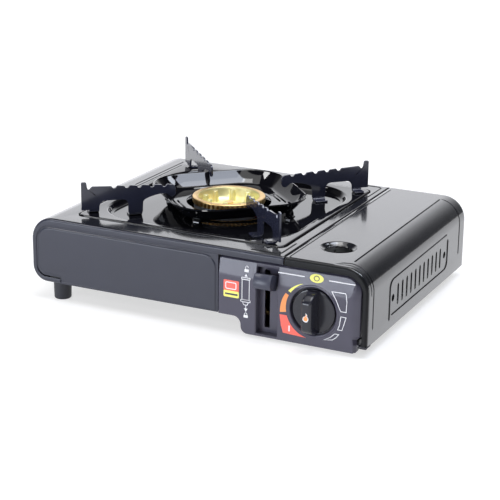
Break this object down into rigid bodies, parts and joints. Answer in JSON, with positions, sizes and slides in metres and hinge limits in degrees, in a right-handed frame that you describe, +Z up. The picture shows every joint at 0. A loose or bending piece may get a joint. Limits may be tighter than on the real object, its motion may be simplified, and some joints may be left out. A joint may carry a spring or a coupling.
{
  "type": "camping stove",
  "caption": "Portable gas cassette stove with a sunk burner, folding cartridge bay cover, lift-off pan stand, front lock lever and gas knob.",
  "frame": {"origin": "on the table, in the middle of the whole object's outline", "axes": "+X to the cartridge side (right as the user faces the controls), +Y away from the user, +Z up"},
  "size_m": [0.342, 0.274, 0.112],
  "materials": {
    "cover_paint": "semi-gloss dark grey paint",
    "case_paint": "satin dark grey paint",
    "panel_paint": "satin dark grey paint",
    "fascia_plastic": "fine-grained dark grey plastic",
    "knob_plastic": "fine-grained near-black plastic",
    "foot_plastic": "matte",
    "enamel": "glossy black enamel",
    "zinc_plate": "zinc-plated",
    "cast_zinc": "as cast",
    "brass": "turned",
    "seal_rubber": "matte",
    "igniter_plastic": "moulded",
    "wire_sleeve": "matte",
    "insulator_ceramic": "glazed"
  },
  "bodies": {
    "case": {"top_cover": "cover_paint", "bottom_case": "case_paint", "rear_panel": "case_paint", "front_panel": "panel_paint", "control_fascia": "fascia_plastic", "left_feet": "foot_plastic", "right_feet": "foot_plastic", "bay_partition": "zinc_plate", "front_bulkhead": "zinc_plate", "cartridge_cradle": "zinc_plate", "notch_guide": "zinc_plate", "burner_bracket": "zinc_plate", "lever_pivot": "zinc_plate", "lever_washer": "zinc_plate", "pusher_studs": "zinc_plate", "cover_hinge_pins": "zinc_plate", "rear_screws": "zinc_plate", "burner_screws": "zinc_plate", "head_screw": "zinc_plate", "igniter_electrode": "zinc_plate", "gas_regulator": "cast_zinc", "burner_base": "cast_zinc", "mixing_tube": "cast_zinc", "burner_head": "brass", "gas_pipe": "brass", "injector": "brass", "inlet_seal": "seal_rubber", "piezo_igniter": "igniter_plastic", "igniter_wire": "wire_sleeve", "electrode_insulator": "insulator_ceramic"},
    "pan_stand": {"drip_tray": "enamel", "pan_support_front_left": "enamel", "pan_support_front_right": "enamel", "pan_support_rear_left": "enamel", "pan_support_rear_right": "enamel", "support_rivets": "zinc_plate", "wind_shield": "enamel"},
    "cover": {"cartridge_cover": "cover_paint"},
    "knob": {"control_knob": "knob_plastic", "valve_shaft": "zinc_plate", "ignition_cam": "igniter_plastic"},
    "lever": {"lock_lever": "zinc_plate", "lever_knob": "knob_plastic"},
    "pusher": {"cartridge_pusher": "zinc_plate"}
  },
  "joints": [
    {"name": "cover_hinge", "type": "hinge", "parent": "case", "child": "cover", "pos_m": [0.1635, 0, 0.012], "axis": [0, 1, 0], "range_deg": [0, 90]},
    {"name": "knob_turn", "type": "hinge", "parent": "case", "child": "knob", "pos_m": [0.12, -0.12, 0.0354], "axis": [0, -1, 0], "range_deg": [0, 150]},
    {"name": "lever_turn", "type": "hinge", "parent": "case", "child": "lever", "pos_m": [0.0724, -0.074, 0.038], "axis": [1, 0, 0], "range_deg": [0, 41]},
    {"name": "pusher_slide", "type": "slide", "parent": "case", "child": "pusher", "axis": [0, -1, 0], "range_m": [0, 0.00915]},
    {"name": "pan_stand_lift", "type": "slide", "parent": "case", "child": "pan_stand", "axis": [0, 0, 1], "range_m": [0, 0.06]}
  ],
  "couplings": [
    {"joint": "pusher_slide", "follows": "lever_turn", "m_per_rad": 0.01275}
  ]
}
